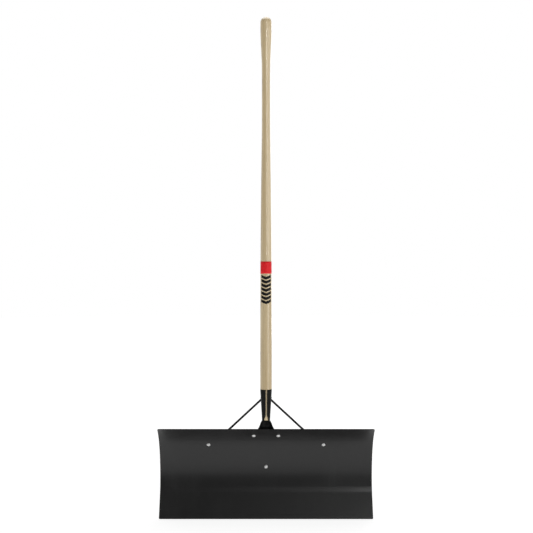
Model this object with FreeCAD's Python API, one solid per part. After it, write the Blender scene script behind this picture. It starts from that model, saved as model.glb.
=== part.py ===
import FreeCAD, Part
import math
import os

from FreeCAD import Vector

# A steel snow pusher: a curved sheet blade, a pressed open-seam socket that is riveted to the
# blade's back, a turned ash handle that is driven into the socket, and two rod braces.
#
# Millimetres. X is the blade's width, +Y points backwards (away from the snow), +Z is up, and
# the origin is the middle of the cutting edge. Angles in degrees unless a name says otherwise.

# ---- blade --------------------------------------------------------------------------------
BLADE_WIDTH = 610.0
BLADE_SHEET = 1.5
BLADE_RADIUS = 170.0        # front face of the rolled part
ARC_TOP = 61.5              # where the rolled part ends, above the horizontal through its axis
ARC_LOW = 9.6               # where it ends, below that horizontal
BEND_RADIUS = 60.0          # front face of the bend between the rolled part and the lip
LIP_LEAN = 25.6             # the flat lip's lean from the vertical
LIP_LENGTH = 76.1
TOP_CORNER = 7.0
EDGE_CORNER = 3.0

# ---- handle -------------------------------------------------------------------------------
HANDLE_FORWARD = 87.0       # from the blade's rearmost front face to the handle's axis
HANDLE_LENGTH = 1128.8
HANDLE_RADIUS = 16.3        # just above the socket
GRIP_RADIUS = 15.6          # where the swelling begins
NECK_RADIUS = 11.65
KNOB_RADIUS = 15.9
LOWER_LENGTH = 125.0        # nearly parallel length above the socket
GRIP_RISE = 361.0           # from the socket's mouth to where the swelling begins
NECK_LENGTH = 112.0
KNOB_TAPER = 125.9          # from the neck to the knob
KNOB_STRAIGHT = 14.0        # parallel length under the round end
SHOULDER_CHAMFER = 1.2
TIP_CHAMFER = 1.0

# ---- socket -------------------------------------------------------------------------------
SOCKET_SHEET = 2.5
SOCKET_LENGTH = 86.0        # from the neck to the mouth
SOCKET_MOUTH_RADIUS = 16.5  # outside
SOCKET_NECK_RADIUS = 11.4   # outside, at the handle's tip
SOCKET_RISE = 24.8          # from the blade's top edge to the neck and the handle's tip
SLIT_WIDTH = 4.2
SLIT_TURN = 4.0             # the slit sits a little to the right of the front
VEE_LENGTH = 14.0           # the seam opens into a V, this long, above the neck
VEE_STEPS = 6               # sections down the V, so that its sheet stays on the cone
NECK_WRAP = 137.0           # half the arc that the sheet covers at the neck
PLATE_BEND = 25.0           # bend between the socket's back wall and the riveted plate
# The channel opens out below the neck: share of the way down, half the arc it covers.
CHANNEL = ((0.12, 104.0), (0.28, 86.0), (0.44, 66.0), (0.58, 34.0), (0.72, 11.5), (0.86, 2.0))
PLATE_NECK = 22.9           # half width of the sheet in the channel and at the plate's top
EAR_RADIUS = 12.0
TONGUE_RADIUS = 14.0
NECK_FILLET = 5.0
HANDLE_FIT = 0.1            # gap between the handle's chuck and the socket

# ---- rivets through the blade -----------------------------------------------------------
RIVET_RADIUS = 2.8
RIVET_HEAD_RADIUS = 5.25
RIVET_HEAD_HEIGHT = 2.8
RIVET_BACK_RADIUS = 4.75
RIVET_BACK_HEIGHT = 1.8
HOLE_GAP = 0.1
UPPER_RIVET_X = 34.7
UPPER_RIVET_DROP = 17.31    # along the plate, below where the socket bends on to it
LOWER_RIVET_DROP = 115.2    # along the plate, below the upper rivets
BRACE_RIVET_X = 164.0
BRACE_RIVET_DROP = 81.0     # along the blade's back, below its top edge

# ---- braces -----------------------------------------------------------------------------
ROD_RADIUS = 3.0
PAD_THICKNESS = 3.0
PAD_RADIUS = 8.0
FLAT_HALF_WIDTH = 5.2       # half width of the rod where it is flattened to PAD_THICKNESS
FLAT_REACH = 9.0            # from a pad's centre to where the flattened stretch begins to round
ROUND_REACH = 19.0          # from a pad's centre to where the rod is round again
BRACE_DROP = 17.7           # from the socket's mouth down to the eyes behind it
EYE_SADDLE = 1.0            # how deep the inner eye is dished to sit on the socket
EYE_LEG = 26.0              # length that lies flat against the socket before the rod leans back
PAD_LEG = 27.0              # length from the blade's pad to the bend
PAD_LEAN = 24.0             # that length's rise, measured on the blade
PAD_RISE = 4.2              # how far the bend stands off the pad's middle plane
ROD_BEND = 22.0

# ---- fasteners on the socket --------------------------------------------------------------
CROSS_RIVET_DROP = 23.0     # from the socket's mouth
CROSS_RIVET_RADIUS = 2.4
CROSS_HEAD_RADIUS = 4.2
CROSS_HEAD_HEIGHT = 1.6
CROSS_END_RADIUS = 3.6
CROSS_END_HEIGHT = 0.8
SCREW_RADIUS = 2.2
SCREW_DEPTH = 18.0          # below its head's seat
SCREW_POINT = 4.0
SCREW_HEAD_RADIUS = 4.6
SCREW_HEAD_HEIGHT = 2.8
RECESS_WIDTH = 1.1
RECESS_LENGTH = 5.2
RECESS_DEPTH = 1.6
WASHER_RADIUS = 6.6
WASHER_THICKNESS = 1.2

X = Vector(1, 0, 0)
Y = Vector(0, 1, 0)
Z = Vector(0, 0, 1)
NOWHERE = Vector(0, 0, 0)
REACH = 40.0                # how far a cutting tool runs past what it cuts


def sin(angle):
    return math.sin(math.radians(angle))


def cos(angle):
    return math.cos(math.radians(angle))


# ---- places that follow from the sizes above ------------------------------------------------
LIP_UP = Vector(0, sin(LIP_LEAN), cos(LIP_LEAN))
LIP_FRONT = Vector(0, -cos(LIP_LEAN), sin(LIP_LEAN))
EDGE_FRONT = LIP_FRONT * BLADE_SHEET
BEND_AXIS = EDGE_FRONT + LIP_UP * LIP_LENGTH + LIP_FRONT * BEND_RADIUS
ARC_AXIS = BEND_AXIS + Vector(0, -cos(ARC_LOW), sin(ARC_LOW)) * (BLADE_RADIUS - BEND_RADIUS)
HANDLE_Y = ARC_AXIS.y + BLADE_RADIUS - HANDLE_FORWARD
HANDLE_AXIS = Vector(0, HANDLE_Y, 0)
BLADE_BACK = BLADE_RADIUS + BLADE_SHEET
PLATE_BACK = BLADE_BACK + SOCKET_SHEET
PLATE_MIDDLE = BLADE_BACK + SOCKET_SHEET / 2
BLADE_TOP = ARC_AXIS.z + BLADE_BACK * sin(ARC_TOP)
SOCKET_NECK = BLADE_TOP + SOCKET_RISE
SLIT_END = SOCKET_NECK + VEE_LENGTH
SOCKET_TOP = SOCKET_NECK + SOCKET_LENGTH
BRACE_HEIGHT = SOCKET_TOP - BRACE_DROP
CROSS_RIVET_HEIGHT = SOCKET_TOP - CROSS_RIVET_DROP
GRIP_HEIGHT = SOCKET_TOP + GRIP_RISE
HANDLE_TOP = SOCKET_NECK + HANDLE_LENGTH
CONE_SLOPE = (SOCKET_MOUTH_RADIUS - SOCKET_NECK_RADIUS) / SOCKET_LENGTH
CONE_LEAN = math.degrees(math.atan(CONE_SLOPE))
WALL_UP = Vector(0, sin(CONE_LEAN), cos(CONE_LEAN))
WALL_BACK = Vector(0, cos(CONE_LEAN), -sin(CONE_LEAN))
WALL_FOOT = HANDLE_AXIS + Y * (SOCKET_NECK_RADIUS - SOCKET_SHEET / 2) + Z * SOCKET_NECK
KNOB_CENTRE = HANDLE_TOP - KNOB_RADIUS
KNOB_LOW = KNOB_CENTRE - KNOB_STRAIGHT
NECK_HIGH = KNOB_LOW - KNOB_TAPER
NECK_LOW = NECK_HIGH - NECK_LENGTH


def plate_bend():
    """From the blade's own axis to the axis of the bend between the socket and its plate.

    The bend's middle line touches the plate's middle line and the cone's back wall.
    """
    start = WALL_FOOT + WALL_BACK * PLATE_BEND - ARC_AXIS
    along = start.dot(WALL_UP)
    away = start.dot(start) - (PLATE_MIDDLE + PLATE_BEND) ** 2
    return start + WALL_UP * (-along + math.sqrt(along * along - away))


PLATE_TURN = plate_bend()
PLATE_ANGLE = math.degrees(math.atan2(PLATE_TURN.z, PLATE_TURN.y))
UPPER_RIVET_ANGLE = PLATE_ANGLE - math.degrees(UPPER_RIVET_DROP / PLATE_MIDDLE)
LOWER_RIVET_ANGLE = UPPER_RIVET_ANGLE - math.degrees(LOWER_RIVET_DROP / PLATE_MIDDLE)
BRACE_RIVET_ANGLE = ARC_TOP - math.degrees(BRACE_RIVET_DROP / BLADE_BACK)
# Of each rivet through the blade: place across, angle on the blade, thickness behind the blade.
BLADE_RIVETS = {
    "socket_rivet_left": (-UPPER_RIVET_X, UPPER_RIVET_ANGLE, SOCKET_SHEET),
    "socket_rivet_right": (UPPER_RIVET_X, UPPER_RIVET_ANGLE, SOCKET_SHEET),
    "socket_rivet_lower": (0.0, LOWER_RIVET_ANGLE, SOCKET_SHEET),
    "brace_rivet_left": (-BRACE_RIVET_X, BRACE_RIVET_ANGLE, PAD_THICKNESS),
    "brace_rivet_right": (BRACE_RIVET_X, BRACE_RIVET_ANGLE, PAD_THICKNESS),
}


def outward(angle):
    """The direction straight out of the blade's back at an angle of its rolled part."""
    return Vector(0, cos(angle), sin(angle))


def upward(angle):
    """The direction along the blade, up, at an angle of its rolled part."""
    return Vector(0, -sin(angle), cos(angle))


def on_arc(angle, radius):
    return ARC_AXIS + outward(angle) * radius


def socket_radius(height):
    """The outside radius of the socket's cone."""
    return SOCKET_NECK_RADIUS + (height - SOCKET_NECK) * CONE_SLOPE


def arc(centre, first, second, radius, start, end):
    """An arc edge; at angle 0 it lies along first from its centre, at 90 degrees along second."""
    def at(angle):
        return centre + first * (radius * cos(angle)) + second * (radius * sin(angle))
    return Part.Arc(at(start), at((start + end) / 2), at(end)).toShape()


def line(start, end):
    return Part.LineSegment(start, end).toShape()


def placed(shape, place, direction):
    """A shape that was made standing on the origin along Z, put at a place along a direction."""
    shape.Placement = FreeCAD.Placement(place, FreeCAD.Rotation(Z, direction))
    return shape


def cylinder(radius, place, direction, length):
    return Part.makeCylinder(radius, length, place, direction)


def cap(radius, height, base, up):
    """The arc of a domed head's half profile, from its rim to its top, in the XZ plane."""
    ball = (radius * radius + height * height) / (2 * height)
    half = math.asin(radius / ball) / 2
    rim = Vector(radius, 0, base)
    middle = Vector(ball * math.sin(half), 0, base + up * (height - ball + ball * math.cos(half)))
    top = Vector(0, 0, base + up * height)
    return rim, middle, top


def turned(edges):
    """The solid that a closed half profile in the XZ plane sweeps about Z."""
    return Part.Face(Part.Wire(edges)).revolve(NOWHERE, Z, 360)


def one_solid(shape):
    """The shape as its one solid; cuts and joins that leave more than one piece are a fault."""
    if len(shape.Solids) != 1:
        raise RuntimeError(f"expected one solid, got {len(shape.Solids)}")
    return shape.Solids[0]


def rivet(shank, low, low_head, high, high_head):
    """A rivet along Z with a domed head under low and another over high."""
    low_rim, low_middle, low_top = cap(low_head[0], low_head[1], low, -1)
    high_rim, high_middle, high_top = cap(high_head[0], high_head[1], high, 1)
    low_foot = Vector(shank, 0, low)
    high_foot = Vector(shank, 0, high)
    return turned([
        Part.Arc(low_top, low_middle, low_rim).toShape(),
        line(low_rim, low_foot),
        line(low_foot, high_foot),
        line(high_foot, high_rim),
        Part.Arc(high_rim, high_middle, high_top).toShape(),
        line(high_top, low_top),
    ])


# ---- blade --------------------------------------------------------------------------------
def blade_face():
    """The blade's section: the lip, the bend and the rolled part."""
    def run(offset):
        bend = BEND_RADIUS + offset
        roll = BLADE_RADIUS + offset
        edge = BEND_AXIS - LIP_FRONT * bend - LIP_UP * LIP_LENGTH
        return edge, [
            line(edge, edge + LIP_UP * LIP_LENGTH),
            arc(BEND_AXIS, Y, Z, bend, -LIP_LEAN, -ARC_LOW),
            arc(ARC_AXIS, Y, Z, roll, -ARC_LOW, ARC_TOP),
        ]
    front_edge, front_run = run(0.0)
    back_edge, back_run = run(BLADE_SHEET)
    top = line(on_arc(ARC_TOP, BLADE_RADIUS), on_arc(ARC_TOP, BLADE_BACK))
    edges = front_run + [top] + list(reversed(back_run)) + [line(back_edge, front_edge)]
    return Part.Face(Part.Wire(Part.__sortEdges__(edges)))


def rivet_hole(x, angle):
    """A radial hole through whatever is stacked at one of the blade's rivets."""
    start = on_arc(angle, BLADE_RADIUS - REACH / 2) + X * x
    return cylinder(RIVET_RADIUS + HOLE_GAP, start, outward(angle), REACH)


def rivet_holes(body):
    for x, angle, _ in BLADE_RIVETS.values():
        body = body.cut(rivet_hole(x, angle))
    return body


def make_blade():
    section = blade_face()
    section.translate(X * (-BLADE_WIDTH / 2))
    sheet = section.extrude(X * BLADE_WIDTH)

    def corner_edges(height_test):
        found = []
        for edge in sheet.Edges:
            middle = edge.CenterOfMass
            at_end = abs(abs(middle.x) - BLADE_WIDTH / 2) < 0.01
            across = abs(edge.Length - BLADE_SHEET) < 0.01
            if at_end and across and height_test(middle.z):
                found.append(edge)
        return found
    sheet = sheet.makeFillet(TOP_CORNER, corner_edges(lambda height: height > ARC_AXIS.z))
    sheet = sheet.makeFillet(EDGE_CORNER, corner_edges(lambda height: height < BLADE_SHEET))
    return one_solid(rivet_holes(sheet))


def make_blade_rivet(x, angle, stack):
    """The head's flat underside meets the hollow face at its rim, so it seats a little forward."""
    seat = math.sqrt(BLADE_RADIUS ** 2 - RIVET_HEAD_RADIUS ** 2)
    head = (RIVET_HEAD_RADIUS, RIVET_HEAD_HEIGHT)
    back_head = (RIVET_BACK_RADIUS, RIVET_BACK_HEIGHT)
    shape = rivet(RIVET_RADIUS, seat, head, BLADE_BACK + stack, back_head)
    return placed(shape, ARC_AXIS + X * x, outward(angle))


# ---- socket -------------------------------------------------------------------------------
def channel(floor, lean, radius, left, right):
    """A C-shaped section of the socket's sheet, open at the front.

    floor is the middle of the sheet at the back, lean the forward lean of the sheet there,
    radius the sheet's middle radius, left and right the arcs it covers on each side.
    """
    forward = Vector(0, -cos(lean), -sin(lean))
    centre = floor + forward * radius
    back = forward * -1
    outer = radius + SOCKET_SHEET / 2
    inner = radius - SOCKET_SHEET / 2
    outside = arc(centre, back, X, outer, -left, right)
    inside = arc(centre, back, X, inner, -left, right)
    return closed(outside, inside)


def flat_strip(floor, lean, half_width):
    """The same section once the sheet has become flat."""
    forward = Vector(0, -cos(lean), -sin(lean)) * (SOCKET_SHEET / 2)
    outside = line(floor - forward - X * half_width, floor - forward + X * half_width)
    inside = line(floor + forward - X * half_width, floor + forward + X * half_width)
    return closed(outside, inside)


def closed(outside, inside):
    """A wire of two edges that run the same way, joined at their ends."""
    first_out, last_out = ends(outside)
    first_in, last_in = ends(inside)
    return Part.Wire([outside, line(last_out, last_in), inside, line(first_in, first_out)])


def ends(edge):
    return edge.valueAt(edge.FirstParameter), edge.valueAt(edge.LastParameter)


def cone_channel(height, half_gap, turn):
    radius = socket_radius(height) - SOCKET_SHEET / 2
    floor = HANDLE_AXIS + Y * radius + Z * height
    return channel(floor, 0.0, radius, 180.0 + turn - half_gap, 180.0 - turn - half_gap)


def slit_half_gap(height):
    return math.degrees(math.asin(SLIT_WIDTH / 2 / socket_radius(height)))


def make_channel():
    """The stretch below the neck, where the tube opens out and bends on to the blade's back."""
    axis = ARC_AXIS + PLATE_TURN
    straight = (WALL_FOOT - axis + WALL_BACK * PLATE_BEND).Length
    turn = PLATE_ANGLE + CONE_LEAN
    curved = math.radians(turn) * PLATE_BEND
    neck_radius = SOCKET_NECK_RADIUS - SOCKET_SHEET / 2
    neck_turn = SLIT_TURN / 2
    wires = [channel(WALL_FOOT, 0.0, neck_radius, NECK_WRAP + neck_turn, NECK_WRAP - neck_turn)]
    for share, wrap in CHANNEL:
        way = share * (straight + curved)
        radius = PLATE_NECK / math.radians(wrap)
        if way < straight:
            floor = WALL_FOOT - WALL_UP * way
            lean = -CONE_LEAN
        else:
            lean = (way - straight) / curved * turn - CONE_LEAN
            floor = axis - outward(lean) * PLATE_BEND
        wires.append(channel(floor, lean, radius, wrap, wrap))
    wires.append(flat_strip(on_arc(PLATE_ANGLE, PLATE_MIDDLE), PLATE_ANGLE, PLATE_NECK))
    return Part.makeLoft(wires, True, False)


def prism(points, angle):
    """A tool with a flat outline, square to the blade at an angle of its rolled part.

    A point is (across, angle on the blade, height above that angle's place in the flat).
    """
    def at(point):
        across, place, above = point
        height = PLATE_MIDDLE * sin(place - angle) + above
        return base + X * across + upward(angle) * height
    base = on_arc(angle, BLADE_RADIUS - REACH / 2)
    corners = [at(point) for point in points]
    outline = Part.makePolygon(corners + corners[:1])
    return Part.Face(outline).extrude(outward(angle) * REACH)


def make_plate():
    """The riveted plate: two ears and a tongue, lying on the blade's back."""
    middle = (UPPER_RIVET_ANGLE + LOWER_RIVET_ANGLE) / 2
    spread = math.atan2(
        UPPER_RIVET_X, 2 * PLATE_MIDDLE * sin((UPPER_RIVET_ANGLE - LOWER_RIVET_ANGLE) / 2))
    ear_x = EAR_RADIUS * math.cos(spread)
    ear_z = -EAR_RADIUS * math.sin(spread)
    tongue_x = TONGUE_RADIUS * math.cos(spread)
    tongue_z = -TONGUE_RADIUS * math.sin(spread)
    web = prism([
        (UPPER_RIVET_X + ear_x, UPPER_RIVET_ANGLE, ear_z),
        (UPPER_RIVET_X, UPPER_RIVET_ANGLE, EAR_RADIUS / 2),
        (-UPPER_RIVET_X, UPPER_RIVET_ANGLE, EAR_RADIUS / 2),
        (-UPPER_RIVET_X - ear_x, UPPER_RIVET_ANGLE, ear_z),
        (-tongue_x, LOWER_RIVET_ANGLE, tongue_z),
        (tongue_x, LOWER_RIVET_ANGLE, tongue_z),
    ], middle)
    neck = prism([
        (PLATE_NECK, UPPER_RIVET_ANGLE, 0.0),
        (PLATE_NECK, PLATE_ANGLE, EAR_RADIUS),
        (-PLATE_NECK, PLATE_ANGLE, EAR_RADIUS),
        (-PLATE_NECK, UPPER_RIVET_ANGLE, 0.0),
    ], PLATE_ANGLE)
    tools = [neck, rounded_end(0.0, LOWER_RIVET_ANGLE, TONGUE_RADIUS)]
    for side in (-1, 1):
        tools.append(rounded_end(side * UPPER_RIVET_X, UPPER_RIVET_ANGLE, EAR_RADIUS))
        tools.append(neck_corner(side))
    outline = web.multiFuse(tools)
    return plate_shell().common(outline)


def rounded_end(x, angle, radius):
    return cylinder(radius, on_arc(angle, BLADE_RADIUS - REACH / 2) + X * x, outward(angle), REACH)


def neck_corner(side):
    """The filler with a hollow round between the plate's neck and one ear."""
    across = PLATE_NECK + NECK_FILLET - UPPER_RIVET_X
    above = math.sqrt((NECK_FILLET + EAR_RADIUS) ** 2 - across ** 2)
    touch = EAR_RADIUS / (EAR_RADIUS + NECK_FILLET)
    block = prism([
        (side * (PLATE_NECK - NECK_FILLET), UPPER_RIVET_ANGLE, 0.0),
        (side * (PLATE_NECK - NECK_FILLET), UPPER_RIVET_ANGLE, above),
        (side * PLATE_NECK, UPPER_RIVET_ANGLE, above),
        (side * (PLATE_NECK + NECK_FILLET), UPPER_RIVET_ANGLE, above),
        (side * (UPPER_RIVET_X + across * touch), UPPER_RIVET_ANGLE, above * touch),
        (side * UPPER_RIVET_X, UPPER_RIVET_ANGLE, 0.0),
    ], UPPER_RIVET_ANGLE)
    base = on_arc(UPPER_RIVET_ANGLE, BLADE_RADIUS - REACH / 2)
    centre = base + X * (side * (PLATE_NECK + NECK_FILLET)) + upward(UPPER_RIVET_ANGLE) * above
    hollow = cylinder(NECK_FILLET, centre, outward(UPPER_RIVET_ANGLE), REACH)
    return block.cut(hollow)


def plate_shell():
    """The layer of the plate's sheet on the blade's back, wide enough for the whole outline."""
    low = LOWER_RIVET_ANGLE - math.degrees(TONGUE_RADIUS / BLADE_BACK) * 1.2
    edges = [
        arc(ARC_AXIS, Y, Z, BLADE_BACK, low, PLATE_ANGLE),
        line(on_arc(PLATE_ANGLE, BLADE_BACK), on_arc(PLATE_ANGLE, PLATE_BACK)),
        arc(ARC_AXIS, Y, Z, PLATE_BACK, PLATE_ANGLE, low),
        line(on_arc(low, PLATE_BACK), on_arc(low, BLADE_BACK)),
    ]
    half_width = UPPER_RIVET_X + 2 * EAR_RADIUS
    face = Part.Face(Part.Wire(edges))
    face.translate(X * -half_width)
    return face.extrude(X * (2 * half_width))


def cross_seat(radius):
    """How far out a flat head of this radius seats on the socket's round side."""
    return math.sqrt(socket_radius(CROSS_RIVET_HEIGHT) ** 2 - radius ** 2)


def make_socket():
    seam = Part.makeLoft([
        cone_channel(SOCKET_TOP, slit_half_gap(SOCKET_TOP), SLIT_TURN),
        cone_channel(SLIT_END, slit_half_gap(SLIT_END), SLIT_TURN),
    ], True, True)
    wide = socket_radius(SOCKET_NECK) * sin(180.0 - NECK_WRAP)
    wires = []
    for step in range(VEE_STEPS + 1):
        share = step / VEE_STEPS
        height = SLIT_END + (SOCKET_NECK - SLIT_END) * share
        half_width = SLIT_WIDTH / 2 + (wide - SLIT_WIDTH / 2) * share
        half_gap = math.degrees(math.asin(half_width / socket_radius(height)))
        wires.append(cone_channel(height, half_gap, SLIT_TURN * (1 - share / 2)))
    vee = Part.makeLoft(wires, True, True)
    body = rivet_holes(seam.multiFuse([vee, make_channel(), make_plate()]))
    centre = HANDLE_AXIS + Z * CROSS_RIVET_HEIGHT
    body = body.cut(cylinder(CROSS_RIVET_RADIUS + HOLE_GAP, centre - X * REACH, X, 2 * REACH))
    head_seat = centre + X * cross_seat(CROSS_HEAD_RADIUS)
    body = body.cut(cylinder(CROSS_HEAD_RADIUS + HOLE_GAP, head_seat, X, REACH))
    end_seat = centre - X * cross_seat(CROSS_END_RADIUS)
    body = body.cut(cylinder(CROSS_END_RADIUS + HOLE_GAP, end_seat, X * -1, REACH))
    body = body.cut(screw_hole())
    return one_solid(body)


def make_handle_rivet():
    """The rivet that runs through the socket and the handle from side to side."""
    head = (CROSS_HEAD_RADIUS, CROSS_HEAD_HEIGHT)
    end = (CROSS_END_RADIUS, CROSS_END_HEIGHT)
    low = -cross_seat(CROSS_END_RADIUS)
    shape = rivet(CROSS_RIVET_RADIUS, low, end, cross_seat(CROSS_HEAD_RADIUS), head)
    return placed(shape, HANDLE_AXIS + Z * CROSS_RIVET_HEIGHT, X)


# ---- handle -------------------------------------------------------------------------------
def make_handle():
    """A turned handle; its lower end is a tapered chuck that fills the socket."""
    inner_mouth = SOCKET_MOUTH_RADIUS - SOCKET_SHEET - HANDLE_FIT
    inner_neck = SOCKET_NECK_RADIUS - SOCKET_SHEET - HANDLE_FIT

    def point(radius, height):
        return Vector(radius, 0, height)
    swell = Part.BSplineCurve()
    swell.interpolate(
        [
            point(HANDLE_RADIUS, SOCKET_TOP + LOWER_LENGTH),
            point(GRIP_RADIUS, GRIP_HEIGHT),
            point((GRIP_RADIUS + 2 * NECK_RADIUS) / 3, (GRIP_HEIGHT + 2 * NECK_LOW) / 3),
            point(NECK_RADIUS, NECK_LOW),
        ],
        InitialTangent=Z, FinalTangent=Z)
    knob = Part.BSplineCurve()
    knob.interpolate(
        [point(NECK_RADIUS, NECK_HIGH), point(KNOB_RADIUS, KNOB_LOW)],
        InitialTangent=Z, FinalTangent=Z)
    shoulder = HANDLE_RADIUS - SHOULDER_CHAMFER
    edges = [
        line(point(0, SOCKET_NECK), point(inner_neck - TIP_CHAMFER, SOCKET_NECK)),
        line(point(inner_neck - TIP_CHAMFER, SOCKET_NECK),
             point(inner_neck + TIP_CHAMFER * CONE_SLOPE, SOCKET_NECK + TIP_CHAMFER)),
        line(point(inner_neck + TIP_CHAMFER * CONE_SLOPE, SOCKET_NECK + TIP_CHAMFER),
             point(inner_mouth, SOCKET_TOP)),
        line(point(inner_mouth, SOCKET_TOP), point(shoulder, SOCKET_TOP)),
        line(point(shoulder, SOCKET_TOP), point(HANDLE_RADIUS, SOCKET_TOP + SHOULDER_CHAMFER)),
        line(point(HANDLE_RADIUS, SOCKET_TOP + SHOULDER_CHAMFER),
             point(HANDLE_RADIUS, SOCKET_TOP + LOWER_LENGTH)),
        swell.toShape(),
        line(point(NECK_RADIUS, NECK_LOW), point(NECK_RADIUS, NECK_HIGH)),
        knob.toShape(),
        line(point(KNOB_RADIUS, KNOB_LOW), point(KNOB_RADIUS, KNOB_CENTRE)),
        arc(point(0, KNOB_CENTRE), X, Z, KNOB_RADIUS, 0, 90),
        line(point(0, HANDLE_TOP), point(0, SOCKET_NECK)),
    ]
    stick = turned(edges)
    stick.translate(HANDLE_AXIS)
    across = HANDLE_AXIS + Z * CROSS_RIVET_HEIGHT - X * REACH
    stick = stick.cut(cylinder(CROSS_RIVET_RADIUS + HOLE_GAP, across, X, 2 * REACH))
    return one_solid(stick.cut(screw_hole()))


# ---- braces -------------------------------------------------------------------------------
def rounded_path(points, radius):
    """A wire through the points, with each inner corner rounded by a tangent arc."""
    edges = []
    start = points[0]
    for before, corner, after in zip(points, points[1:], points[2:]):
        inward = (before - corner).normalize()
        onward = (after - corner).normalize()
        half = inward.getAngle(onward) / 2
        cut = radius / math.tan(half)
        bisector = (inward + onward).normalize()
        middle = corner + bisector * (radius / math.sin(half) - radius)
        first = corner + inward * cut
        last = corner + onward * cut
        edges.append(line(start, first))
        edges.append(Part.Arc(first, middle, last).toShape())
        start = last
    edges.append(line(start, points[-1]))
    return Part.Wire(edges)


def pad_end(centre, normal, towards, round_point, round_direction):
    """A flattened end: a round pad, a flat neck and the stretch where the rod is round again."""
    half = PAD_THICKNESS / 2
    disc = cylinder(PAD_RADIUS, centre - normal * half, normal, PAD_THICKNESS)
    side = normal.cross(towards)
    flat_point = centre + towards * FLAT_REACH
    flat = oval(flat_point, side, normal, FLAT_HALF_WIDTH, half)
    start = oval(centre, side, normal, FLAT_HALF_WIDTH, half)
    neck = Part.makeLoft([start, flat], True, True)
    round_side = (side - round_direction * side.dot(round_direction)).normalize()
    round_normal = round_direction.cross(round_side)
    ring = oval(round_point, round_side, round_normal, ROD_RADIUS, ROD_RADIUS)
    taper = Part.makeLoft([flat, ring], True, True)
    return [disc, neck, taper]


def oval(centre, first, second, first_radius, second_radius):
    """A closed oval that starts on its longer axis, first, so that like sections loft evenly."""
    ellipse = Part.Ellipse(centre, first_radius, second_radius)
    ellipse.Axis = first.cross(second)
    ellipse.XAxis = first
    return Part.Wire(ellipse.toShape())


def eye_plane(side):
    """How far behind the handle's axis an eye's middle plane lies: the right one is inside."""
    inner = socket_radius(BRACE_HEIGHT) - EYE_SADDLE + PAD_THICKNESS / 2
    return inner if side > 0 else inner + PAD_THICKNESS


def make_brace(side):
    """A rod brace from behind the socket to the blade's back; side is -1 left, 1 right."""
    pad_out = outward(BRACE_RIVET_ANGLE)
    pad = on_arc(BRACE_RIVET_ANGLE, BLADE_BACK + PAD_THICKNESS / 2) + X * (side * BRACE_RIVET_X)
    pad_way = X * (-side * cos(PAD_LEAN)) + upward(BRACE_RIVET_ANGLE) * sin(PAD_LEAN)
    knee = pad + pad_way * PAD_LEG + pad_out * PAD_RISE
    eye = HANDLE_AXIS + Y * eye_plane(side) + Z * BRACE_HEIGHT
    eye_way = Vector(knee.x - eye.x, 0, knee.z - eye.z).normalize()
    hip = eye + eye_way * EYE_LEG
    eye_round = eye + eye_way * ROUND_REACH
    to_knee = (knee - pad).normalize()
    pad_round = pad + to_knee * ROUND_REACH
    path = rounded_path([eye_round, hip, knee, pad_round], ROD_BEND)
    ring = Part.Wire(Part.Circle(eye_round, eye_way, ROD_RADIUS).toShape())
    rod = path.makePipe(Part.Face(ring))
    pieces = pad_end(eye, Y, eye_way, eye_round, eye_way)
    pieces += pad_end(pad, pad_out, pad_way, pad_round, to_knee)
    brace = rod.multiFuse(pieces)
    brace = brace.cut(rivet_hole(side * BRACE_RIVET_X, BRACE_RIVET_ANGLE))
    brace = brace.cut(screw_hole())
    if side > 0:
        brace = brace.cut(socket_cone())
    return one_solid(brace)


def socket_cone():
    """The outside of the socket as a solid cone, for what is dished to sit on it."""
    base = HANDLE_AXIS + Z * SOCKET_NECK
    return Part.makeCone(SOCKET_NECK_RADIUS, SOCKET_MOUTH_RADIUS, SOCKET_LENGTH, base, Z)


# ---- screw and washer behind the socket -----------------------------------------------------
def washer_seat():
    """How far behind the handle's axis the washer's front face lies."""
    return eye_plane(-1) + PAD_THICKNESS / 2


def screw_hole():
    """The screw's own hole, from its point to past its head."""
    tip = HANDLE_AXIS + Z * BRACE_HEIGHT + Y * (washer_seat() + WASHER_THICKNESS - SCREW_DEPTH)
    shank = cylinder(SCREW_RADIUS + HOLE_GAP, tip + Y * SCREW_POINT, Y, REACH)
    point = Part.makeCone(0.0, SCREW_RADIUS + HOLE_GAP, SCREW_POINT, tip, Y)
    return shank.fuse(point)


def make_washer():
    base = HANDLE_AXIS + Y * washer_seat() + Z * BRACE_HEIGHT
    disc = cylinder(WASHER_RADIUS, base, Y, WASHER_THICKNESS)
    return one_solid(disc.cut(screw_hole()))


def make_screw():
    """A round-head wood screw with a crossed recess."""
    rim, middle, top = cap(SCREW_HEAD_RADIUS, SCREW_HEAD_HEIGHT, 0.0, 1)
    neck = Vector(SCREW_RADIUS, 0, 0)
    shank = Vector(SCREW_RADIUS, 0, SCREW_POINT - SCREW_DEPTH)
    point = Vector(0, 0, -SCREW_DEPTH)
    screw = turned([
        Part.Arc(top, middle, rim).toShape(),
        line(rim, neck),
        line(neck, shank),
        line(shank, point),
        line(point, top),
    ])
    for length, width in ((RECESS_LENGTH, RECESS_WIDTH), (RECESS_WIDTH, RECESS_LENGTH)):
        corner = Vector(-length / 2, -width / 2, SCREW_HEAD_HEIGHT - RECESS_DEPTH)
        screw = screw.cut(Part.makeBox(length, width, REACH, corner))
    place = HANDLE_AXIS + Z * BRACE_HEIGHT + Y * (washer_seat() + WASHER_THICKNESS)
    return placed(one_solid(screw), place, Y)


# ---- the whole ----------------------------------------------------------------------------
def make_parts():
    parts = {
        "blade": make_blade(),
        "socket": make_socket(),
        "handle": make_handle(),
        "brace_left": make_brace(-1),
        "brace_right": make_brace(1),
        "handle_rivet": make_handle_rivet(),
        "brace_screw": make_screw(),
        "brace_washer": make_washer(),
    }
    for name, (x, angle, stack) in BLADE_RIVETS.items():
        parts[name] = make_blade_rivet(x, angle, stack)
    return parts


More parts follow.
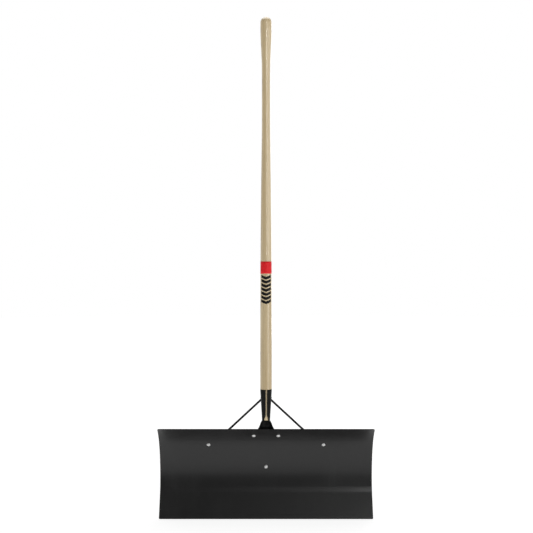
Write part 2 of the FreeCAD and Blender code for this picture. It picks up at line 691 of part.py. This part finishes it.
def main():
    os.makedirs("parts", exist_ok=True)
    for name, shape in make_parts().items():
        if not shape.isValid() or len(shape.Solids) != 1:
            raise RuntimeError(f"{name} is not one sound solid")
        shape.exportStep(os.path.join("parts", name + ".step"))
        box = shape.BoundBox
        print(f"{name:20s} {shape.Volume:12.1f} mm3  "
              f"x {box.XMin:8.2f} {box.XMax:8.2f}  y {box.YMin:8.2f} {box.YMax:8.2f}  "
              f"z {box.ZMin:8.2f} {box.ZMax:8.2f}")


main()
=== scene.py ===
import math

import bmesh
import bpy
from bpy.props import FloatProperty, FloatVectorProperty, PointerProperty
from mathutils import Matrix, Vector


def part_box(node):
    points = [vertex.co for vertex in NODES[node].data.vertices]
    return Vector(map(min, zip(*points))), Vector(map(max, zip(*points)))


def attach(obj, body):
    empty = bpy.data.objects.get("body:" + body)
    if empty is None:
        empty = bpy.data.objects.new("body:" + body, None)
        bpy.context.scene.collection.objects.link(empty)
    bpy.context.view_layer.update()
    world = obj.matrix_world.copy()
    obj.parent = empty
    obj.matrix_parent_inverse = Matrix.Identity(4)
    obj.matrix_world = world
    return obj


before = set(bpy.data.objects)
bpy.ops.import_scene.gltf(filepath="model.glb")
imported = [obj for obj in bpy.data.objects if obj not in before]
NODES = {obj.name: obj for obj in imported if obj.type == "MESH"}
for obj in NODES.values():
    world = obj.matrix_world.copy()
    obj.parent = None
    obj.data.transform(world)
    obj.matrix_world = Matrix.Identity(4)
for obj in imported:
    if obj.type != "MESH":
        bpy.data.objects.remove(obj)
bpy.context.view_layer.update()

bl_info = {
    "name": "Snow shovel finishes",
    "version": (1, 0, 0),
    "blender": (4, 5, 0),
    "location": "3D View > Sidebar > Shovel",
    "description": "Paint, wood, steel and printed marks of the snow shovel, and its stage",
    "category": "Object",
}

MILLIMETRE = 0.001

HANDLE_LOW, HANDLE_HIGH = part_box("handle")
HANDLE_AXIS = Vector(((HANDLE_LOW.x + HANDLE_HIGH.x) / 2, (HANDLE_LOW.y + HANDLE_HIGH.y) / 2, 0.0))

# ---- wood --------------------------------------------------------------------------------
PITH = (0.052, 0.074, 0.0)              # from the tree's pith to the handle's foot
GRAIN_TILT = (math.radians(0.55), math.radians(-0.8), 0.0)
GRAIN_WANDER = (0.007, 0.007, 0.0)      # how far the rings stray along the handle
RING_SCALE = 131.0                      # growth rings about 2.4 mm apart
OLD_LACQUER = (0.80, 0.745, 0.62)       # multiplies the wood's colour where it is thick

# ---- marks -------------------------------------------------------------------------------
BAND_GRID = (96, 6)                     # faces round the handle and along it
BAR_GRID = (32, 3)
BAR_COUNT = 7
BAND_WEAR = 0.15                        # how much wood shows through rubbed ink
BAR_WEAR = 0.25

# ---- stage -------------------------------------------------------------------------------
WHITE = (1.0, 1.0, 1.0, 1.0)
FLOOR_TONES = (0.20, 0.23)              # what the floor reflects; the rest of its white is its own
FLOOR_GLOW = (0.88, 1.0)                # its own light near the object and far away
GLOW_REACH = (1.0, 3.5)                 # where the one gives way to the other
LENS = 70.28
SENSOR = 36.0
CAMERA_SIDE = 0.0013
CAMERA_CLIP = 100.0
LIGHTS = {                              # power setting: name, place, target, width, height
    "key": ("key_light", (0.75, -2.9, 1.45), (0.0, 0.0, 1.45), 0.2, 1.3),
    "right": ("right_panel", (1.75, -1.7, 1.0), (0.0, 0.0, 1.0), 0.6, 1.8),
    "side": ("side_panel", (2.3, -0.3, 1.0), (0.0, 0.0, 1.0), 1.2, 1.8),
    "left": ("left_panel", (-2.2, 0.25, 1.15), (0.0, 0.0, 1.15), 0.8, 2.2),
    "overhead": ("overhead_light", (0.0, 0.7, 3.2), (0.0, 0.7, 0.0), 2.4, 2.4),
    "behind": ("back_light", (0.9, 2.6, 1.3), (0.0, 0.0, 0.8), 1.0, 2.0),
}


# ---- settings -----------------------------------------------------------------------------
def length(name, description, default):
    return FloatProperty(
        name=name, description=description, default=default, min=0.0, unit="LENGTH",
        subtype="DISTANCE", precision=5)


def colour(name, description, default):
    return FloatVectorProperty(
        name=name, description=description, default=default, size=3, min=0.0, max=1.0,
        subtype="COLOR")


def power(name, description, default):
    return FloatProperty(name=name, description=description, default=default, min=0.0, unit="POWER")


class ShovelSizes(bpy.types.PropertyGroup):
    """Sizes of the marks on the handle."""

    band_low: length("Band height", "Height of the colour band's lower edge", 0.699)
    band_width: length("Band width", "Width of the colour band along the handle", 0.034)
    marks_low: length("Marks height", "Height of the lowest printed bar's foot", 0.614)
    marks_reach: length("Marks length", "Length of the row of bars along the handle", 0.082)
    marks_across: length("Marks width", "Width of a bar as seen from the front", 0.027)
    bar_height: length("Bar height", "Height of one printed bar", 0.0078)
    bar_drop: length("Bar drop", "How far a bar's middle hangs below its ends", 0.0060)
    ink_thickness: length("Ink thickness", "How far the ink stands out of the wood", 0.00012)


class ShovelColours(bpy.types.PropertyGroup):
    """Colours of the shovel's finishes."""

    blade_paint: colour("Blade paint", "Black paint on the blade", (0.0072, 0.0072, 0.0072))
    enamel: colour("Enamel", "Black enamel on the socket and the braces", (0.007, 0.007, 0.0073))
    late_wood: colour("Late wood", "Pale part of the ash's growth rings", (0.91, 0.74, 0.45))
    early_wood: colour("Early wood", "Darker, porous part of the growth rings", (0.65, 0.495, 0.285))
    band_ink: colour("Band ink", "Ink of the colour band", (0.86, 0.012, 0.018))
    mark_ink: colour("Mark ink", "Ink of the printed bars", (0.006, 0.006, 0.006))
    plated: colour("Plated steel", "Rivets through the blade", (0.92, 0.92, 0.91))
    zinc: colour("Zinc", "Screw and washer behind the socket", (0.62, 0.63, 0.62))


class StageSettings(bpy.types.PropertyGroup):
    """The floor, the lights and the camera."""

    floor_radius: length("Floor radius", "Radius of the round floor", 12.0)
    camera_distance: length("Camera distance", "From the blade's cutting edge to the camera", 2.96105)
    camera_height: length("Camera height", "Height of the camera above the floor", 0.7189)
    key: power("Key light", "Tall narrow light, front right", 8.5)
    right: power("Right panel", "Tall soft panel at the right", 8.0)
    side: power("Side panel", "Broad soft panel beside the object, right", 4.5)
    left: power("Left panel", "Tall soft panel at the left", 2.5)
    overhead: power("Overhead light", "Wide soft light above the object", 36.0)
    behind: power("Back light", "Soft light behind the object", 14.0)


# ---- building materials -------------------------------------------------------------------
def node(tree, kind, sockets=(), out=0, **settings):
    """Adds a node, sets or links its sockets by name, and returns one of its outputs."""
    made = tree.nodes.new("ShaderNode" + kind)
    for key, value in settings.items():
        setattr(made, key, value)
    for key, value in dict(sockets).items():
        if isinstance(value, bpy.types.NodeSocket):
            tree.links.new(value, made.inputs[key])
        else:
            made.inputs[key].default_value = value
    return made.outputs[out]


def rgba(values):
    return (*values, 1.0)


def tint(values, factor):
    """A colour made lighter or darker."""
    return [min(1.0, value * factor) for value in values]


def noise(tree, vector, scale, detail=2.0, roughness=0.5):
    return node(tree, "TexNoise", {
        "Vector": vector, "Scale": scale, "Detail": detail, "Roughness": roughness})


def stretched(tree, vector, across, along, shift=(0.0, 0.0, 0.0)):
    """Coordinates for a pattern of different size across and along the height."""
    return node(tree, "Mapping", {
        "Vector": vector, "Location": shift, "Scale": (across, across, along)})


def remap(tree, value, low, high, new_low=0.0, new_high=1.0):
    return node(tree, "MapRange", {
        "Value": value, "From Min": low, "From Max": high, "To Min": new_low, "To Max": new_high})


def calculate(tree, operation, first, second, clamp=False):
    return node(tree, "Math", {0: first, 1: second}, operation=operation, use_clamp=clamp)


def blend(tree, factor, first, second, kind="MIX"):
    """A mix of two colours."""
    return node(
        tree, "Mix", {0: factor, 6: first, 7: second}, out=2, data_type="RGBA", blend_type=kind)


def bump(tree, height, distance, strength, under=None):
    sockets = {"Height": height, "Distance": distance, "Strength": strength}
    if under is not None:
        sockets["Normal"] = under
    return node(tree, "Bump", sockets)


def new_material(name, finish):
    """A material; its finish function gives what to set or link on the shader's sockets."""
    material = bpy.data.materials.new(name)
    material.use_nodes = True
    tree = material.node_tree
    tree.nodes.clear()
    place = node(tree, "TexCoord", out=3)
    surface = node(tree, "BsdfPrincipled", finish(tree, place))
    output = tree.nodes.new("ShaderNodeOutputMaterial")
    tree.links.new(surface, output.inputs["Surface"])
    return material


def colours():
    return bpy.context.scene.shovel_colours


def sizes():
    return bpy.context.scene.shovel_sizes


# ---- finishes -----------------------------------------------------------------------------
def black_blade_paint():
    """Satin black paint, sprayed on a rolled sheet: orange peel, slight waves, wiped dust."""
    paint = list(colours().blade_paint)

    def finish(tree, place):
        peel = noise(tree, place, 620.0, 3.0)
        waves = noise(tree, stretched(tree, place, 3.2, 9.0), 1.0, 1.0)
        cloud = noise(tree, stretched(tree, place, 9.0, 5.0), 1.0, 6.0, 0.62)
        wipes = noise(tree, stretched(tree, place, 160.0, 7.0), 1.0, 4.0, 0.6)
        specks = node(tree, "TexVoronoi", {"Vector": place, "Scale": 170.0})
        dust = remap(tree, cloud, 0.46, 0.72)
        streaks = remap(tree, wipes, 0.5, 0.75)
        veil = calculate(tree, "MULTIPLY", dust, streaks)
        veil = calculate(tree, "MULTIPLY", veil, 0.6)
        speck = remap(tree, specks, 0.05, 0.09, 1.0, 0.0)
        rare = remap(tree, cloud, 0.58, 0.7)
        speck = calculate(tree, "MULTIPLY", speck, rare)
        haze = calculate(tree, "ADD", calculate(tree, "MULTIPLY", dust, 0.5), veil, True)
        base = blend(tree, haze, rgba(paint), rgba(tint(paint, 2.6)))
        base = blend(tree, calculate(tree, "MULTIPLY", speck, 0.5), base, rgba(tint(paint, 9.0)))
        gloss = remap(tree, haze, 0.0, 1.0, 0.42, 0.56)
        relief = bump(tree, waves, 2.2 * MILLIMETRE, 0.5)
        relief = bump(tree, peel, 0.06 * MILLIMETRE, 0.55, relief)
        return {"Base Color": base, "Roughness": gloss, "Normal": relief,
                "Coat Weight": 0.3, "Coat Roughness": 0.2}
    return new_material("black_blade_paint", finish)


def black_enamel():
    """Semi-gloss dipped enamel, thicker in places, with fine dust in it."""
    paint = list(colours().enamel)

    def finish(tree, place):
        runs = noise(tree, stretched(tree, place, 90.0, 22.0), 1.0, 3.0)
        peel = noise(tree, place, 1100.0, 2.0)
        rubbed = noise(tree, place, 65.0, 6.0, 0.65)
        rub = remap(tree, rubbed, 0.55, 0.78)
        base = blend(tree, rub, rgba(paint), rgba(tint(paint, 2.6)))
        gloss = calculate(tree, "ADD", remap(tree, runs, 0.3, 0.7, 0.27, 0.38),
                          calculate(tree, "MULTIPLY", rub, 0.16))
        relief = bump(tree, runs, 0.25 * MILLIMETRE, 0.6)
        relief = bump(tree, peel, 0.04 * MILLIMETRE, 0.6, relief)
        return {"Base Color": base, "Roughness": gloss, "Normal": relief,
                "Specular IOR Level": 0.25}
    return new_material("black_enamel", finish)


def grain_space(tree, place):
    """Coordinates whose Z axis is the tree's pith, a hand's width beside the handle."""
    wander = node(tree, "TexNoise", {
        "Vector": stretched(tree, place, 14.0, 1.7), "Scale": 1.0, "Detail": 2.0}, out=1)
    wander = node(tree, "VectorMath", {0: wander, 1: (0.5, 0.5, 0.5)}, operation="SUBTRACT")
    wander = node(tree, "VectorMath", {0: wander, 1: GRAIN_WANDER}, operation="MULTIPLY")
    bent = node(tree, "VectorMath", {0: place, 1: wander}, operation="ADD")
    return node(tree, "Mapping", {
        "Vector": bent, "Location": PITH, "Rotation": GRAIN_TILT})


def wood_grain(tree, place):
    """Ash along the handle: its (ring, early wood, pore, fibre, slow change of tone)."""
    ring = node(tree, "TexWave", {
        "Vector": grain_space(tree, place), "Scale": RING_SCALE, "Distortion": 0.0},
        out=1, wave_type="RINGS", rings_direction="Z", wave_profile="SAW")
    early = remap(tree, ring, 0.12, 0.42, 1.0, 0.0)
    cells = node(tree, "TexVoronoi", {
        "Vector": stretched(tree, place, 2100.0, 75.0), "Scale": 1.0})
    pore = remap(tree, cells, 0.16, 0.42, 1.0, 0.0)
    pore = calculate(tree, "MULTIPLY", pore, early)
    fibre = noise(tree, stretched(tree, place, 1300.0, 16.0), 1.0, 3.0, 0.6)
    board = noise(tree, stretched(tree, place, 95.0, 2.4, (0.3, 0.1, 0.7)), 1.0, 4.0, 0.55)
    return ring, early, pore, fibre, board


def lacquered_ash():
    """Turned ash under clear lacquer: rings, pores, fibres and slow changes of tone."""
    late, early_tone = list(colours().late_wood), list(colours().early_wood)

    def finish(tree, place):
        ring, early, pore, fibre, board = wood_grain(tree, place)
        base = blend(tree, early, rgba(late), rgba(early_tone))
        edge = remap(tree, ring, 0.86, 1.0, 0.0, 0.35)
        base = blend(tree, edge, base, rgba(tint(early_tone, 0.92)))
        base = blend(tree, remap(tree, board, 0.34, 0.68), base,
                     blend(tree, 1.0, base, rgba(OLD_LACQUER), "MULTIPLY"))
        base = blend(tree, remap(tree, fibre, 0.35, 0.7, 0.0, 0.28), base, rgba(early_tone))
        base = blend(tree, calculate(tree, "MULTIPLY", pore, 0.75), base,
                     rgba(tint(early_tone, 0.42)))
        gloss = calculate(tree, "ADD", remap(tree, fibre, 0.3, 0.7, 0.38, 0.5),
                          calculate(tree, "MULTIPLY", pore, 0.18))
        relief = bump(tree, board, 0.5 * MILLIMETRE, 0.25)
        relief = bump(tree, fibre, 0.05 * MILLIMETRE, 0.55, relief)
        hollow = calculate(tree, "SUBTRACT", 1.0, pore)
        relief = bump(tree, hollow, 0.07 * MILLIMETRE, 0.7, relief)
        return {"Base Color": base, "Roughness": gloss, "Normal": relief,
                "Specular IOR Level": 1.0, "Coat Weight": 1.0, "Coat Roughness": 0.12,
                "Coat IOR": 1.8}
    return new_material("lacquered_ash", finish)


def printed_ink(name, ink, worn):
    """Ink rolled on to the wood: it sinks at the pores and is rubbed thin on some fibres."""
    def finish(tree, place):
        pore, fibre = wood_grain(tree, place)[2:4]
        rub = noise(tree, stretched(tree, place, 420.0, 60.0), 1.0, 5.0, 0.65)
        thin = remap(tree, rub, 0.6, 0.74)
        thin = calculate(tree, "MULTIPLY", thin, remap(tree, fibre, 0.4, 0.7))
        base = blend(tree, calculate(tree, "MULTIPLY", thin, worn), rgba(ink),
                     rgba(colours().early_wood))
        base = blend(tree, calculate(tree, "MULTIPLY", pore, 0.35), base, rgba(tint(ink, 0.55)))
        gloss = remap(tree, fibre, 0.3, 0.7, 0.34, 0.48)
        relief = bump(tree, fibre, 0.05 * MILLIMETRE, 0.5)
        hollow = calculate(tree, "SUBTRACT", 1.0, pore)
        relief = bump(tree, hollow, 0.05 * MILLIMETRE, 0.5, relief)
        return {"Base Color": base, "Roughness": gloss, "Normal": relief,
                "Specular IOR Level": 0.3}
    return new_material(name, finish)


def hammered_steel():
    """Bright plated rivet heads with the small flats that the riveting hammer leaves."""
    plated = list(colours().plated)

    def finish(tree, place):
        dents = node(tree, "TexVoronoi", {"Vector": place, "Scale": 420.0, "Smoothness": 0.5},
                     feature="SMOOTH_F1")
        grime = noise(tree, place, 900.0, 5.0, 0.6)
        dark = remap(tree, grime, 0.52, 0.75)
        base = blend(tree, calculate(tree, "MULTIPLY", dark, 0.35), rgba(plated),
                     rgba(tint(plated, 0.55)))
        gloss = remap(tree, grime, 0.3, 0.7, 0.4, 0.55)
        relief = bump(tree, dents, 0.3 * MILLIMETRE, 0.5)
        relief = bump(tree, grime, 0.02 * MILLIMETRE, 0.5, relief)
        return {"Base Color": base, "Roughness": gloss, "Normal": relief, "Metallic": 0.6}
    return new_material("hammered_steel", finish)


def zinc_plate():
    """Dull zinc with its faint flowers."""
    zinc = list(colours().zinc)

    def finish(tree, place):
        flowers = node(tree, "TexVoronoi", {"Vector": place, "Scale": 700.0}, out=1)
        flowers = node(tree, "SeparateColor", {"Color": flowers})
        stain = noise(tree, place, 500.0, 5.0, 0.6)
        base = blend(tree, remap(tree, flowers, 0.0, 1.0, 0.0, 0.3), rgba(zinc),
                     rgba(tint(zinc, 0.72)))
        base = blend(tree, remap(tree, stain, 0.5, 0.75, 0.0, 0.4), base, rgba(tint(zinc, 0.5)))
        gloss = remap(tree, flowers, 0.0, 1.0, 0.34, 0.52)
        relief = bump(tree, stain, 0.03 * MILLIMETRE, 0.5)
        return {"Base Color": base, "Roughness": gloss, "Normal": relief, "Metallic": 1.0}
    return new_material("zinc_plate", finish)


def pale_floor():
    """A matt floor that glows white, more so far away, where it meets the background."""
    def finish(tree, place):
        grain = noise(tree, place, 40.0, 4.0)
        low, high = (rgba([tone] * 3) for tone in FLOOR_TONES)
        base = blend(tree, grain, low, high)
        away = node(tree, "VectorMath", {0: place}, out=1, operation="LENGTH")
        return {"Base Color": base, "Roughness": remap(tree, grain, 0.0, 1.0, 0.85, 0.95),
                "Emission Color": WHITE,
                "Emission Strength": remap(tree, away, *GLOW_REACH, *FLOOR_GLOW)}
    return new_material("pale_floor", finish)


def dress(name, material):
    """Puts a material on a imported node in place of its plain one."""
    slots = NODES[name].data.materials
    slots.clear()
    slots.append(material)


# ---- marks on the handle ------------------------------------------------------------------
def handle_rings():
    """(height, radius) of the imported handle's rings, from the lowest to the highest."""
    rings = {}
    for vertex in NODES["handle"].data.vertices:
        away = vertex.co - HANDLE_AXIS
        height = round(away.z, 4)
        rings[height] = max(rings.get(height, 0.0), math.hypot(away.x, away.y))
    return sorted(rings.items())


def handle_radius(rings, height):
    below = [ring for ring in rings if ring[0] <= height][-1]
    above = [ring for ring in rings if ring[0] > height][0]
    share = (height - below[0]) / (above[0] - below[0])
    return below[1] + (above[1] - below[1]) * share


def wrap(mesh, lift):
    """Bends a flat mesh round the front of the handle: X is an angle and Y a height."""
    rings = handle_rings()
    for vertex in mesh.verts:
        radius = handle_radius(rings, vertex.co.y) + lift
        angle = vertex.co.x
        vertex.co = HANDLE_AXIS + Vector((
            radius * math.sin(angle), -radius * math.cos(angle), vertex.co.y))


def new_piece(name, mesh, material):
    data = bpy.data.meshes.new(name)
    mesh.to_mesh(data)
    mesh.free()
    piece = bpy.data.objects.new(name, data)
    bpy.context.scene.collection.objects.link(piece)
    data.materials.append(material)
    data.shade_smooth()
    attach(piece, "root")


def ink_film(mesh, thickness):
    """Gives a wrapped ink its thickness, outwards from the wood."""
    bmesh.ops.recalc_face_normals(mesh, faces=mesh.faces)
    bmesh.ops.solidify(mesh, geom=mesh.faces[:], thickness=thickness)
    bmesh.ops.recalc_face_normals(mesh, faces=mesh.faces)


def flat_patch(mesh, columns, rows, centre, half_angle, half_height):
    """A grid in the flat, with its width given as an angle round the handle."""
    place = Matrix.Translation((0.0, centre, 0.0)) @ Matrix.Diagonal(
        (half_angle, half_height, 1.0, 1.0))
    return bmesh.ops.create_grid(
        mesh, x_segments=columns, y_segments=rows, size=1.0, matrix=place)["verts"]


def paint_band():
    """A plain ring of colour round the handle."""
    size = sizes()
    mesh = bmesh.new()
    flat_patch(mesh, *BAND_GRID, size.band_low + size.band_width / 2, math.pi, size.band_width / 2)
    wrap(mesh, size.ink_thickness)
    bmesh.ops.remove_doubles(mesh, verts=mesh.verts, dist=0.01 * MILLIMETRE)
    ink_film(mesh, size.ink_thickness)
    ink = printed_ink("band_ink", list(colours().band_ink), BAND_WEAR)
    new_piece("colour_band", mesh, ink)


def print_marks():
    """A row of plain bars, each hanging a little in its middle."""
    size = sizes()
    mesh = bmesh.new()
    radius = handle_radius(handle_rings(), size.marks_low)
    half_angle = math.asin(size.marks_across / 2 / radius)
    first = size.marks_low + size.bar_drop + size.bar_height / 2
    pitch = (size.marks_reach - size.bar_drop - size.bar_height) / (BAR_COUNT - 1)
    for bar in range(BAR_COUNT):
        corners = flat_patch(mesh, *BAR_GRID, first + bar * pitch, half_angle, size.bar_height / 2)
        for vertex in corners:
            vertex.co.y -= size.bar_drop * (1.0 - abs(vertex.co.x) / half_angle)
    wrap(mesh, size.ink_thickness)
    ink_film(mesh, size.ink_thickness)
    ink = printed_ink("mark_ink", list(colours().mark_ink), BAR_WEAR)
    new_piece("printed_marks", mesh, ink)


# ---- stage --------------------------------------------------------------------------------
def soft_light(name, place, target, across, high, watts):
    data = bpy.data.lights.new(name, "AREA")
    data.shape = "RECTANGLE"
    data.size = across
    data.size_y = high
    data.energy = watts
    lamp = bpy.data.objects.new(name, data)
    bpy.context.scene.collection.objects.link(lamp)
    lamp.location = place
    lamp.rotation_mode = "QUATERNION"
    lamp.rotation_quaternion = (Vector(target) - Vector(place)).to_track_quat("-Z", "Y")
    lamp.visible_camera = False


def build_world():
    """White behind the object, and for what its surfaces reflect a room that is white below and
    behind the object and dark behind the camera."""
    world = bpy.data.worlds.new("studio")
    bpy.context.scene.world = world
    world.use_nodes = True
    tree = world.node_tree
    tree.nodes.clear()
    way = node(tree, "SeparateXYZ", {"Vector": node(tree, "TexCoord", out=0)}).node.outputs
    below = remap(tree, way[2], -0.34, -0.2, 0.76, 0.0)
    behind = remap(tree, way[1], 0.15, 0.75, 0.0, 0.75)
    above = remap(tree, way[2], 0.0, 1.0, 0.05, 0.16)
    light = calculate(tree, "MAXIMUM", calculate(tree, "MAXIMUM", below, behind), above)
    room = node(tree, "Background", {"Color": light, "Strength": 1.0})
    seen = node(tree, "Background", {"Color": WHITE, "Strength": 1.0})
    camera_ray = node(tree, "LightPath", out=0)
    both = node(tree, "MixShader", {0: camera_ray, 1: room, 2: seen})
    output = tree.nodes.new("ShaderNodeOutputWorld")
    tree.links.new(both, output.inputs["Surface"])


def build_floor():
    mesh = bmesh.new()
    radius = bpy.context.scene.shovel_stage.floor_radius
    bmesh.ops.create_circle(mesh, cap_ends=True, segments=128, radius=radius)
    data = bpy.data.meshes.new("floor")
    mesh.to_mesh(data)
    mesh.free()
    data.materials.append(pale_floor())
    floor = bpy.data.objects.new("floor", data)
    bpy.context.scene.collection.objects.link(floor)
    floor.visible_glossy = False


def build_camera():
    stage = bpy.context.scene.shovel_stage
    data = bpy.data.cameras.new("camera")
    data.sensor_width = SENSOR
    data.lens = LENS
    data.clip_end = CAMERA_CLIP
    camera = bpy.data.objects.new("camera", data)
    bpy.context.scene.collection.objects.link(camera)
    camera.location = (CAMERA_SIDE, -stage.camera_distance, stage.camera_height)
    camera.rotation_euler = (math.radians(90.0), 0.0, 0.0)
    bpy.context.scene.camera = camera


# ---- operators ----------------------------------------------------------------------------
class SHOVEL_OT_blade(bpy.types.Operator):
    """Paint the blade"""

    bl_idname = "shovel.blade"
    bl_label = "Blade"

    def execute(self, context):
        dress("blade", black_blade_paint())
        return {"FINISHED"}


class SHOVEL_OT_socket(bpy.types.Operator):
    """Enamel the socket and the braces"""

    bl_idname = "shovel.socket"
    bl_label = "Socket and braces"

    def execute(self, context):
        enamel = black_enamel()
        for name in ("socket", "brace_left", "brace_right", "handle_rivet"):
            dress(name, enamel)
        return {"FINISHED"}


class SHOVEL_OT_handle(bpy.types.Operator):
    """Give the handle its ash grain and lacquer"""

    bl_idname = "shovel.handle"
    bl_label = "Handle"

    def execute(self, context):
        dress("handle", lacquered_ash())
        return {"FINISHED"}


class SHOVEL_OT_fasteners(bpy.types.Operator):
    """Finish the rivets, the screw and the washer"""

    bl_idname = "shovel.fasteners"
    bl_label = "Rivets and screw"

    def execute(self, context):
        steel = hammered_steel()
        for name in sorted(NODES):
            if name.startswith(("socket_rivet", "brace_rivet")):
                dress(name, steel)
        zinc = zinc_plate()
        for name in ("brace_screw", "brace_washer"):
            dress(name, zinc)
        return {"FINISHED"}


class SHOVEL_OT_colour_band(bpy.types.Operator):
    """Paint the colour band round the handle"""

    bl_idname = "shovel.colour_band"
    bl_label = "Colour band"

    def execute(self, context):
        paint_band()
        return {"FINISHED"}


class SHOVEL_OT_printed_marks(bpy.types.Operator):
    """Print the row of bars on the handle"""

    bl_idname = "shovel.printed_marks"
    bl_label = "Printed bars"

    def execute(self, context):
        print_marks()
        return {"FINISHED"}


class SHOVEL_OT_stage(bpy.types.Operator):
    """Set up the floor, the lights and the camera"""

    bl_idname = "shovel.stage"
    bl_label = "Stage"

    def execute(self, context):
        stage = context.scene.shovel_stage
        build_world()
        build_floor()
        for setting, layout in LIGHTS.items():
            soft_light(*layout, getattr(stage, setting))
        build_camera()
        context.scene.view_settings.view_transform = "Standard"
        return {"FINISHED"}


OPERATORS = (
    SHOVEL_OT_blade,
    SHOVEL_OT_socket,
    SHOVEL_OT_handle,
    SHOVEL_OT_fasteners,
    SHOVEL_OT_colour_band,
    SHOVEL_OT_printed_marks,
    SHOVEL_OT_stage,
)


class SHOVEL_PT_sidebar(bpy.types.Panel):
    """The shovel's pieces and settings"""

    bl_idname = "SHOVEL_PT_sidebar"
    bl_label = "Shovel"
    bl_space_type = "VIEW_3D"
    bl_region_type = "UI"
    bl_category = "Shovel"

    def draw(self, context):
        for operator in OPERATORS:
            self.layout.operator(operator.bl_idname)
        for group in ("shovel_sizes", "shovel_colours", "shovel_stage"):
            settings = getattr(context.scene, group)
            box = self.layout.box()
            for key in settings.__annotations__:
                box.prop(settings, key)


GROUPS = {
    "shovel_sizes": ShovelSizes,
    "shovel_colours": ShovelColours,
    "shovel_stage": StageSettings,
}


def register():
    for group in (*GROUPS.values(), *OPERATORS, SHOVEL_PT_sidebar):
        bpy.utils.register_class(group)
    for name, group in GROUPS.items():
        setattr(bpy.types.Scene, name, PointerProperty(type=group))


def unregister():
    for name in GROUPS:
        delattr(bpy.types.Scene, name)
    for group in (SHOVEL_PT_sidebar, *reversed(OPERATORS), *GROUPS.values()):
        bpy.utils.unregister_class(group)


def main():
    register()
    bpy.ops.shovel.blade()
    bpy.ops.shovel.socket()
    bpy.ops.shovel.handle()
    bpy.ops.shovel.fasteners()
    bpy.ops.shovel.colour_band()
    bpy.ops.shovel.printed_marks()
    bpy.ops.shovel.stage()


if __name__ == "__main__":
    main()
